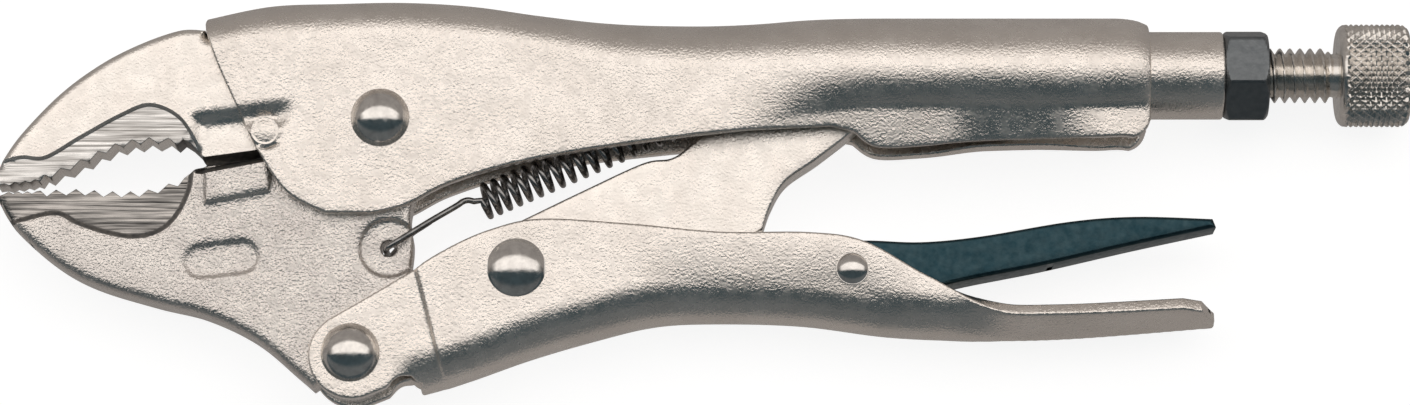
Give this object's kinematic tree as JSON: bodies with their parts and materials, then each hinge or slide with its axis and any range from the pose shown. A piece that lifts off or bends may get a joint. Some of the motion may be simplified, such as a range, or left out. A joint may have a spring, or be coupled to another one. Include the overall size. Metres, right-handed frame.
{
  "type": "locking pliers",
  "caption": "Curved-jaw locking pliers with a toggle linkage, release lever, return spring, wire cutter and knurled adjusting screw, closed and locked.",
  "frame": {"origin": "centre of the bounding box at its bottom, with the tool lying on its side", "axes": "+X from the jaws to the knurled knob, +Y towards the back of the upper handle, +Z along the pivots"},
  "size_m": [0.2512, 0.0724, 0.0206],
  "materials": {
    "plated_sheet": "satin grained nickel plate on pressed sheet",
    "forged_plate": "grained nickel plate on forgings, with brushed ground faces",
    "rivet_steel": "polished",
    "black_oxide": "black oxide, satin",
    "spring_steel": "dark drawn wire",
    "screw_steel": "bright, rolled thread and diamond knurl"
  },
  "bodies": {
    "upper_body": {"upper_handle": "plated_sheet", "fixed_jaw": "forged_plate", "jaw_lock_pin": "plated_sheet", "jaw_pivot_rivet": "rivet_steel", "threaded_sleeve": "plated_sheet", "return_spring": "spring_steel"},
    "jaw_body": {"moving_jaw": "forged_plate"},
    "grip_body": {"lower_handle": "plated_sheet", "handle_pivot_rivet": "rivet_steel", "link_rivet": "rivet_steel", "lever_rivet": "rivet_steel", "link_washer_left": "rivet_steel", "link_washer_right": "rivet_steel", "lever_spring": "spring_steel"},
    "link_body": {"toggle_link": "forged_plate"},
    "lever_body": {"release_lever": "black_oxide"},
    "nut_body": {"lock_nut": "black_oxide"},
    "screw_body": {"adjusting_screw": "screw_steel"},
    "knob_body": {"adjusting_knob": "screw_steel"}
  },
  "joints": [
    {"name": "jaw_swing", "type": "hinge", "parent": "upper_body", "child": "jaw_body", "pos_m": [-0.0576, 0.0141, 0.0103], "axis": [0, 0, 1], "range_deg": [0, 15.7], "deforming": ["return_spring"]},
    {"name": "handle_swing", "type": "hinge", "parent": "jaw_body", "child": "grip_body", "pos_m": [-0.0625, -0.028, 0.0103], "axis": [0, 0, 1], "range_deg": [-54, 0]},
    {"name": "link_swing", "type": "hinge", "parent": "grip_body", "child": "link_body", "pos_m": [-0.0333, -0.013, 0.0103], "axis": [0, 0, 1], "range_deg": [0, 59.5]},
    {"name": "lever_press", "type": "hinge", "parent": "grip_body", "child": "lever_body", "pos_m": [0.026, -0.0132, 0.0103], "axis": [0, 0, 1], "range_deg": [-8, 0], "stiffness_Nm_per_rad": 0.5},
    {"name": "nut_turn", "type": "hinge", "parent": "upper_body", "child": "nut_body", "pos_m": [0.0964, 0.023, 0.0103], "axis": [1, 0, 0], "range_deg": [0, 90]},
    {"name": "screw_travel", "type": "slide", "parent": "upper_body", "child": "screw_body", "axis": [1, 0, 0], "range_m": [0, 0.0252]},
    {"name": "knob_turn", "type": "hinge", "parent": "screw_body", "child": "knob_body", "pos_m": [0.1192, 0.023, 0.0103], "axis": [1, 0, 0], "range_deg": [0, 5050]}
  ],
  "couplings": [
    {"joint": "jaw_swing", "follows": "handle_swing", "ratio": -0.29},
    {"joint": "link_swing", "follows": "handle_swing", "ratio": -1.1},
    {"joint": "knob_turn", "follows": "screw_travel", "rad_per_m": 3490.7}
  ]
}
